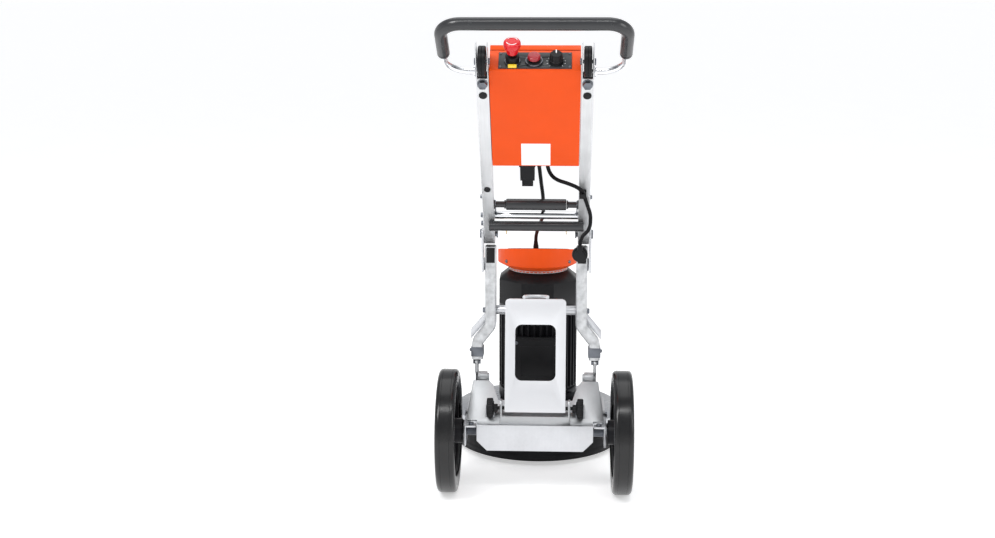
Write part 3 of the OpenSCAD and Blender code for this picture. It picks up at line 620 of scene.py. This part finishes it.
def panel_details():
    """Bezels with dark steel rings, ticks round the speed knob and the panel's screws."""
    bm = bmesh.new()
    for x, r, h in ((STOP_X, 0.0140, 0.0180), (START_X, 0.0155, 0.0060), (SPEED_X, 0.0145, 0.0040)):
        lathe(bm, [(0.0051, h), (r - 0.0035, h), (r - 0.0010, h - 0.0006), (r, h - 0.0020), (r, 0.0006),
                   (r - 0.0005, 0.0), (0.0051, 0.0), (0.0051, h)], on_panel(x))
    bezels = piece("round_bezels", bm, materials["black_plastic"], "upper_frame")
    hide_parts("button_bezels")
    bm = bmesh.new()
    for x, r, h in ((STOP_X, 0.0143, 0.0035), (START_X, 0.0160, 0.0042)):
        lathe(bm, [(r - 0.0008, 0.0002), (r + 0.0012, 0.0004), (r + 0.0016, 0.0014), (r + 0.0010, h),
                   (r - 0.0008, h), (r - 0.0008, 0.0002)], on_panel(x))
    rings = piece("bezel_rings", bm, materials["dark_steel"], "upper_frame")
    bm = bmesh.new()
    for i in range(TICKS):
        a = math.radians(TICK_DEGREES * (i - (TICKS - 1) / 2))
        turned_box(bm, (-0.0004, 0.0172, 0.00005), (0.0004, 0.0196, 0.0004), 0.0001,
                   on_panel(SPEED_X) @ Matrix.Rotation(-a, 4, "Z"))
    ticks = piece("speed_ticks", bm, materials["pointer_white"], "upper_frame")
    bm = bmesh.new()
    for x in (-0.0690, 0.0690):
        for y in (-0.0030, 0.0370):
            lathe(bm, [(0, 0.0004), (0.0009, 0.0005), (0.0012, 0.0014), (0.0022, 0.0012), (0.0026, 0.0)],
                  on_panel(x, 0, y), 24)
    screws = piece("panel_screws", bm, materials["dark_steel"], "upper_frame")


stop_button()
start_button()
speed_knob()
panel_details()


# Control box: blank rating plate, cover screws and the gasket under the cover

PLATE_LOW = (-0.030, -0.0131, 0.1960)
PLATE_HIGH = (0.031, -0.01255, 0.2580)
SCREW_X, SCREW_Y = 0.0855 * 0.965, 0.0672
GASKET_W = 0.004


def box_details():
    """The blank plate on the shell, the cover's screws and the dark gasket."""
    bm = bmesh.new()
    box(bm, PLATE_LOW, PLATE_HIGH, 0.0002, 1)
    plate = piece("blank_rating_plate", bm, materials["label_white"], "upper_frame", matrix=POST)
    bm = bmesh.new()
    for x in (-SCREW_X, SCREW_X):
        for t in (0.205, 0.3225, 0.440):
            spot = POST @ Matrix.Translation((x, SCREW_Y, t)) @ Matrix.Rotation(-math.pi / 2, 4, "X")
            lathe(bm, [(0, 0.0008), (0.0012, 0.0009), (0.0016, 0.0022), (0.0031, 0.0020), (0.0038, 0.0004),
                       (0.0038, -0.0002)], spot, 28)
    screws = piece("cover_screws", bm, materials["dark_steel"], "upper_frame")
    half, low, high = 0.0910, 0.1935, 0.4545
    seam = (0.0503, 0.0522)
    bm = bmesh.new()
    for t in (low, high - GASKET_W):
        box(bm, (-half, seam[0], t), (half, seam[1], t + GASKET_W), 0.0004, 1)
    for x in (-half, half - GASKET_W):
        box(bm, (x, seam[0], low + 0.0045), (x + GASKET_W, seam[1], high - 0.0045), 0.0004, 1)
    gasket = piece("box_gasket", bm, materials["dark_gap"], "upper_frame", matrix=POST)


box_details()


# Bars between the posts


def bar(name, material, body, node, place, parts):
    """A bar along X made of round stretches: (start, end, radius, rounding)."""
    bm = bmesh.new()
    for x0, x1, radius, r in parts:
        lathe(bm, rounded(x0, x1, r, radius), place @ Matrix.Rotation(math.pi / 2, 4, "Y"), 48)
    made = piece(name, bm, material, body)
    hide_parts(node)


release_parts = [(-0.066, 0.066, 0.0125, 0.0022)]
for sign in (-1, 1):
    for x0, x1, radius in ((0.0665, 0.0970, 0.0070), (0.0665, 0.0700, 0.0095), (0.0905, 0.0925, 0.0100)):
        release_parts.append((min(sign * x0, sign * x1), max(sign * x0, sign * x1), radius, 0.0006))
bar("release_grip", materials["grip_foam"], "release", "release_handle",
    POST @ Matrix.Translation((0, 0, 0.064)), release_parts)
bar("lower_cross_bar", materials["grip_foam"], "upper_frame", "cross_bar",
    POST @ Matrix.Translation((0, -0.0235, 0.020)),
    [(-0.1035, 0.1035, 0.0110, 0.0015), (-0.1040, -0.0990, 0.0114, 0.0010),
     (0.0990, 0.1040, 0.0114, 0.0010)])


def release_links():
    """Flat dark links between the release grip's ends and the rod below it."""
    bm = bmesh.new()
    for sign in (-1, 1):
        x = sign * 0.0895
        box(bm, (x - 0.0012, -0.0062, 0.026), (x + 0.0012, 0.0062, 0.072), 0.0010)
    links = piece("release_links", bm, materials["dark_steel"], "release", matrix=POST)


release_links()


# Latch pins

LATCH_T = -0.008
SPRING_X, SPRING_LENGTH, SPRING_R, SPRING_TURNS = 0.0762, 0.0140, 0.0066, 6
PULL_X, PULL_Y, PULL_R = 0.0665, -0.0085, 0.0095


def latch_springs():
    """A coil spring and a pull ring on each latch pin."""
    steps = 16 * SPRING_TURNS
    for sign, side in ((-1, "left"), (1, "right")):
        bm = bmesh.new()
        coil = []
        for i in range(steps + 1):
            a = math.radians(22.5 * i)
            coil.append(POST @ Vector((sign * (SPRING_X + SPRING_LENGTH * i / steps), SPRING_R * math.cos(a),
                                       LATCH_T + SPRING_R * math.sin(a))))
        sweep(bm, coil, 0.0007, 8)
        ring = [POST @ Vector((sign * PULL_X, PULL_Y + PULL_R * math.cos(a), LATCH_T + PULL_R * math.sin(a)))
                for a in (math.radians(15 * i) for i in range(24))]
        sweep(bm, ring + ring[:2], 0.0009, 10)
        spring = piece("latch_spring_" + side, bm, materials["brass"], "latch_" + side)


latch_springs()


# Loading rollers in the post tops

ROLLER_X, ROLLER_T, ROLLER_R = 0.105, 0.468, 0.031


def rollers():
    """A black roller with a steel pin in the top of each post."""
    bm = bmesh.new()
    bright = bmesh.new()
    r = ROLLER_R
    for sign in (-1, 1):
        place = POST @ Matrix.Translation((sign * ROLLER_X, 0, ROLLER_T))
        place = place @ Matrix.Rotation(math.pi / 2, 4, "Y")
        lathe(bm, [(0.0040, 0.0075), (0.0120, 0.0075), (0.0125, 0.0055), (0.0235, 0.0055), (0.0245, 0.0078),
                   (0.0290, 0.0078), (r, 0.0060), (r, 0.0006), (r - 0.0008, 0.0), (r, -0.0006),
                   (r, -0.0060), (0.0290, -0.0078), (0.0245, -0.0078), (0.0235, -0.0055),
                   (0.0125, -0.0055), (0.0120, -0.0075), (0.0040, -0.0075), (0.0040, 0.0075)], place, 72)
        lathe(bright, rounded(-0.0140, 0.0140, 0.0005, 0.0038), place, 24)
        for end in (-1, 1):
            cap = place @ Matrix.Translation((0, 0, end * 0.0126)) @ Matrix.Rotation(
                0 if end > 0 else math.pi, 4, "X")
            lathe(bright, rounded(0.0, 0.0032, 0.0010, 0.0068), cap, 32)
    tread = piece("roller_rings", bm, materials["black_plastic"], "upper_frame")
    pins = piece("roller_pins", bright, materials["dark_steel"], "upper_frame")
    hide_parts("rollers")


rollers()


# Legs: square tube with round corners and smooth bends

LEG_KNEE_TOP, LEG_KNEE_LOW, LEG_BEND_R = 0.376, 0.337, 0.020


def filleted(points, radius, steps=8):
    """A path through the points with its corners rounded."""
    path = [Vector(points[0])]
    for a, b, c in zip(points, points[1:], points[2:]):
        a, b, c = Vector(a), Vector(b), Vector(c)
        into = (b - a).normalized()
        out = (c - b).normalized()
        turn = into.angle(out)
        reach = radius * math.tan(turn / 2)
        middle = b + (out - into).normalized() * radius / math.cos(turn / 2)
        start = b - into * reach - middle
        axis = into.cross(out).normalized()
        path += [middle + Matrix.Rotation(turn * i / steps, 3, axis) @ start for i in range(steps + 1)]
    return path + [Vector(points[-1])]


def square_section(half, corner, steps=4):
    """Points round a square with round corners."""
    section = []
    for quarter in range(4):
        for i in range(steps + 1):
            a = math.pi / 2 * (quarter + i / steps)
            middle = Vector(((half - corner) * (1 if quarter in (0, 3) else -1),
                             (half - corner) * (1 if quarter < 2 else -1)))
            section.append(middle + corner * Vector((math.cos(a), math.sin(a))))
    return section


def legs():
    """Both legs: down from the frame, outwards at the knee, and down to the ears."""
    for sign, side in ((-1, "left"), (1, "right")):
        low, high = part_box("leg_" + side)
        half = (high.y - low.y) / 2
        y = (high.y + low.y) / 2
        inner, outer = sorted((abs(low.x), abs(high.x)))
        corners = [(sign * (inner + half), y, high.z), (sign * (inner + half), y, LEG_KNEE_TOP),
                   (sign * (outer - half), y, LEG_KNEE_LOW), (sign * (outer - half), y, low.z)]
        path = filleted(corners, LEG_BEND_R)
        tangents = [(b - a).normalized() for a, b in zip([path[0]] + path[:-1], path[1:] + [path[-1]])]
        bm = bmesh.new()
        rings = []
        for point, tangent in zip(path, tangents):
            across = Vector((0, 1, 0)).cross(tangent)
            rings.append([bm.verts.new(point + across * v.x + Vector((0, v.y, 0)))
                          for v in square_section(half, 0.004)])
        loft(bm, rings)
        leg = piece("bent_leg_" + side, bm, materials["cast_leg"], "chassis")
        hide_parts("leg_" + side)


legs()


# Motor, hood and head details

GUARD_RIBS = 44
GRILLE_TILT, GRILLE_Z, GRILLE_SLOTS = math.radians(-11), 0.493, 24
HOOD_SCREW_R, HOOD_SCREW_Z = 0.0998, 0.4740


def hood_guard():
    """The slotted grey guard under the orange hood, round a dark core."""
    bm = bmesh.new()
    z0, z1 = 0.4452, 0.4502
    for z in (z0 - 0.0002, z1 - 0.0010):
        lathe(bm, [(0.0640, z), (0.0722, z), (0.0722, z + 0.0012), (0.0640, z + 0.0012), (0.0640, z)], HEAD)
    for i in range(GUARD_RIBS):
        turned_box(bm, (0.0655, -0.0012, z0), (0.0718, 0.0012, z1), 0.0003,
                   HEAD @ Matrix.Rotation(2 * math.pi * i / GUARD_RIBS, 4, "Z"))
    guard = piece("hood_guard", bm, materials["guard_grey"], "chassis")
    bm = bmesh.new()
    lathe(bm, [(0.0625, z0), (0.0662, z0), (0.0662, z1), (0.0625, z1), (0.0625, z0)], HEAD)
    dark = piece("hood_guard_core", bm, materials["dark_gap"], "chassis")


def hood_top():
    """A round grille on the hood's sloping top, and screws round its side."""
    top = HEAD @ Matrix.Translation((0, 0, GRILLE_Z)) @ Matrix.Rotation(GRILLE_TILT, 4, "X")
    bm = bmesh.new()
    for r in (0.030, 0.045, 0.060, 0.075):
        ring = [top @ Vector((r * math.cos(a), r * math.sin(a), 0.0002))
                for a in (2 * math.pi * i / 72 for i in range(73))]
        sweep(bm, ring, 0.0011, 8, caps=False)
    for i in range(GRILLE_SLOTS):
        a = 2 * math.pi * (i + 0.5) / GRILLE_SLOTS
        slot_ends = [top @ Vector((r * math.cos(a), r * math.sin(a), 0.0002)) for r in (0.047, 0.0725)]
        sweep(bm, slot_ends, 0.0012, 8)
    grille = piece("hood_top_grille", bm, materials["dark_gap"], "chassis")
    bm = bmesh.new()
    for angle in (40, 140, 220, 320):
        a = math.radians(angle)
        spot = HEAD @ Matrix.Translation(
            (HOOD_SCREW_R * math.cos(a), HOOD_SCREW_R * math.sin(a), HOOD_SCREW_Z))
        spot = spot @ Matrix.Rotation(a, 4, "Z") @ Matrix.Rotation(math.pi / 2, 4, "Y")
        lathe(bm, [(0, 0.0010), (0.0014, 0.0011), (0.0018, 0.0024), (0.0034, 0.0022), (0.0042, 0.0004),
                   (0.0042, -0.0006)], spot, 28)
    screws = piece("hood_screws", bm, materials["dark_steel"], "chassis")


def terminal_box_screws():
    """The terminal box's cover screws and the raised field between them."""
    low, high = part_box("terminal_box")
    bm = bmesh.new()
    for x in (low.x + 0.008, high.x - 0.008):
        for z in (low.z + 0.008, high.z - 0.012):
            spot = Matrix.Translation((x, low.y, z)) @ Matrix.Rotation(math.pi / 2, 4, "X")
            lathe(bm, [(0, 0.0008), (0.0016, 0.0009), (0.0020, 0.0026), (0.0038, 0.0024), (0.0045, 0.0004),
                       (0.0045, -0.0004)], spot, 28)
    screws = piece("terminal_box_screws", bm, materials["dark_steel"], "chassis")
    bm = bmesh.new()
    box(bm, (low.x + 0.018, low.y - 0.0016, low.z + 0.014), (high.x - 0.018, low.y + 0.001, high.z - 0.020),
        0.0014, 3)
    panel = piece("terminal_box_panel", bm, materials["black_plastic"], "chassis")


def skirt_band():
    """Two rubber bands round the floating skirt."""
    low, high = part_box("skirt")
    r = (high.x - low.x) / 2
    bm = bmesh.new()
    for z in (low.z + 0.0080, high.z - 0.0130):
        lathe(bm, [(r - 0.0030, z), (r - 0.0002, z), (r + 0.0004, z + 0.0012), (r + 0.0004, z + 0.0078),
                   (r - 0.0002, z + 0.0090), (r - 0.0030, z + 0.0090), (r - 0.0030, z)], HEAD, 160)
    bands = piece("skirt_bands", bm, materials["dark_rubber"], "skirt")


KNOB_R, KNOB_FLUTES, KNOB_FLUTE_DEPTH = 0.0223, 20, 0.0010


def fluted_knobs():
    """Moulded round knobs, finely fluted, on the bracket's hinge screws."""
    turns = 120
    for sign, side in ((-1, "left"), (1, "right")):
        bm = bmesh.new()
        levels = [(0.0940, 0.86), (0.0946, 0.95), (0.0960, 1.0), (0.1062, 1.0), (0.1078, 0.96),
                  (0.1085, 0.88), (0.1082, 0.60)]
        rings = []
        for x, share in levels:
            ring = []
            for i in range(turns):
                a = 2 * math.pi * i / turns
                r = KNOB_R - KNOB_FLUTE_DEPTH * max(0.0, math.cos(KNOB_FLUTES * a)) ** 2
                ring.append(bm.verts.new(bracket_axis + Vector((
                    sign * x, share * r * math.cos(a), share * r * math.sin(a)))))
            rings.append(ring)
        loft(bm, rings)
        stem = along_x(Vector((0, bracket_axis.y, bracket_axis.z)))
        if sign < 0:
            stem = Matrix.Scale(-1, 4, X) @ stem
        lathe(bm, [(0, 0.062), (0.0040, 0.062), (0.0040, 0.0838), (0.0085, 0.0842), (0.0090, 0.0850),
                   (0.0090, 0.0918), (0.0150, 0.0924), (0.0160, 0.0932), (0.0160, 0.0945), (0, 0.0945)],
              stem, 40)
        knob = piece("fluted_knob_" + side, bm, materials["black_plastic"], "knob_" + side)
        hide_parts("knob_" + side)


hood_guard()
hood_top()
terminal_box_screws()
skirt_band()
fluted_knobs()


# Cables: the routes repeat the part's own points, in millimetres from the axle's line

MOTOR_CABLE = [
    (6, -55, 767.4), (6, -47.8, 757.8), (8, -33, 738), (11, -11, 708.5), (14, 14, 681),
    (15, 42, 657.5), (15, 74, 636), (13, 108, 618), (10, 142, 603), (7, 176, 589.5),
    (3, 208, 576), (-1, 238, 561), (-4, 262, 545.5), (-5, 279, 530), (-5, 291.6, 513.4),
]
LINK_CABLE = [
    (24, -55, 767.4), (24, -47.8, 757.8), (25.5, -42, 747.5), (30, -41, 736), (38, -44, 726.5),
    (50, -51, 720.5), (65, -58, 716.5), (80, -62.5, 711.5), (88.5, -63, 707.5),
    (95.5, -61, 702.5), (100.5, -57.5, 697), (103, -53.3, 691.3), (105, -49, 684.5),
    (108.5, -43.5, 674), (112.5, -37, 662), (116.5, -30, 650), (118.7, -24, 639),
    (119, -19, 629.5), (118.6, -15.8, 620), (116.8, -13.2, 612), (113.8, -7.9, 604),
    (108.3, 2, 596), (102.7, 11.9, 588), (99.7, 17.2, 580), (97.5, 21, 573), (97.5, 21, 566),
]
CABLE_R = 0.0042


def cable(name, points):
    """A lead held at both ends, swept once along a fixed route that passes the frame's fold."""
    route = smooth_route([Vector((x, y, z)) * MM + Vector((0, axle.y, 0)) for x, y, z in points])
    bm = bmesh.new()
    sweep(bm, route, CABLE_R, 20)
    lead = piece(name, bm, materials["dark_rubber"], None)
    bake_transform(lead)
    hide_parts("cables")
    return route


motor_route = cable("motor_cable", MOTOR_CABLE)
link_route = cable("link_cable", LINK_CABLE)


RELIEF_R, RELIEF_TAPER, RELIEF_GROOVE, RELIEF_PITCH = 0.0062, 0.0016, 0.0004, 0.0022


def relief_radius(run, whole):
    groove = RELIEF_GROOVE * math.cos(run / RELIEF_PITCH * 2 * math.pi)
    return RELIEF_R - RELIEF_TAPER * run / whole + groove * (1 - run / whole)


def strain_reliefs():
    """Tapered, ribbed sleeves where the leads leave their glands."""
    for name, route, body, points in (
        ("relief_motor_top", motor_route, "upper_frame", 13),
        ("relief_link_top", link_route, "upper_frame", 13),
        ("relief_motor_low", motor_route[::-1], "chassis", 8),
    ):
        bm = bmesh.new()
        sweep(bm, smooth_route(route[:points], 5), relief_radius, 24)
        relief = piece(name, bm, materials["black_plastic"], body)


strain_reliefs()


CONNECTOR = Vector((0.0975, axle.y + 34.5 * MM, 0.544))
KNURL_DEPTH = 0.0006


def connector_ring():
    """The knurled locking ring of the round connector on the right leg."""
    bm = bmesh.new()
    turns = 120
    levels = [(0.0002, 0.0170), (0.0012, 0.0178), (0.0070, 0.0178), (0.0082, 0.0170), (0.0084, 0.0150)]
    rings = []
    for depth, r in levels:
        ring = []
        for i in range(turns):
            a = 2 * math.pi * i / turns
            reach = r - KNURL_DEPTH * (i % 4 < 2)
            ring.append(bm.verts.new(CONNECTOR + Vector((reach * math.cos(a), -depth, reach * math.sin(a)))))
        rings.append(ring)
    loft(bm, rings)
    ring = piece("connector_ring", bm, materials["black_plastic"], "chassis", 25)


connector_ring()


# Studio


def studio():
    """A white floor, a sky that is white near the horizon, and four soft lights."""
    bm = bmesh.new()
    bmesh.ops.create_grid(bm, x_segments=1, y_segments=1, size=150)
    mesh = bpy.data.meshes.new("floor")
    bm.to_mesh(mesh)
    bm.free()
    floor = bpy.data.objects.new("floor", mesh)
    bpy.context.scene.collection.objects.link(floor)
    pale = Shader("pale_floor")
    tone = pale.noise(3.0, 3.0)
    pale.feed(pale.bsdf.inputs["Base Color"],
              pale.mix(pale.span(tone, 0.0, 1.0), (0.90, 0.90, 0.90, 1), (0.93, 0.93, 0.93, 1)))
    pale.bsdf.inputs["Roughness"].default_value = 0.8
    pale.bsdf.inputs["Specular IOR Level"].default_value = 0.1
    pale.bsdf.inputs["Emission Color"].default_value = (1, 1, 1, 1)
    pale.bsdf.inputs["Emission Strength"].default_value = 0.45
    mesh.materials.append(pale.material)

    world = bpy.data.worlds.new("studio")
    bpy.context.scene.world = world
    world.use_nodes = True
    tree = world.node_tree
    background = tree.nodes["Background"]
    place = tree.nodes.new("ShaderNodeTexCoord")
    split = tree.nodes.new("ShaderNodeSeparateXYZ")
    ramp = tree.nodes.new("ShaderNodeValToRGB")
    tree.links.new(place.outputs["Generated"], split.inputs["Vector"])
    tree.links.new(split.outputs["Z"], ramp.inputs["Fac"])
    tree.links.new(ramp.outputs["Color"], background.inputs["Color"])
    stops = ramp.color_ramp.elements
    stops[0].position = 0.10
    stops[0].color = (1, 1, 1, 1)
    stops[1].position = 0.34
    stops[1].color = (0.55, 0.56, 0.58, 1)
    background.inputs["Strength"].default_value = 1.0

    def area(name, place, aim, size, power):
        light = bpy.data.lights.new(name, "AREA")
        light.shape = "RECTANGLE"
        light.energy = power
        light.size, light.size_y = size
        lamp = bpy.data.objects.new(name, light)
        lamp.location = place
        lamp.rotation_euler = (Vector(aim) - Vector(place)).to_track_quat("-Z", "Y").to_euler()
        bpy.context.scene.collection.objects.link(lamp)

    area("key", (-1.7, -2.2, 2.8), (0, 0, 0.5), (1.2, 1.2), 44)
    area("fill", (2.6, -1.4, 1.6), (0, 0, 0.5), (1.0, 1.4), 16)
    area("strip", (0.2, -1.75, 2.75), (0, -0.1, 0.2), (2.4, 0.22), 20)
    area("top", (0, 0.8, 3.2), (0, 0.2, 0), (2.4, 2.4), 22)
    bpy.context.scene.view_settings.view_transform = "Standard"


studio()
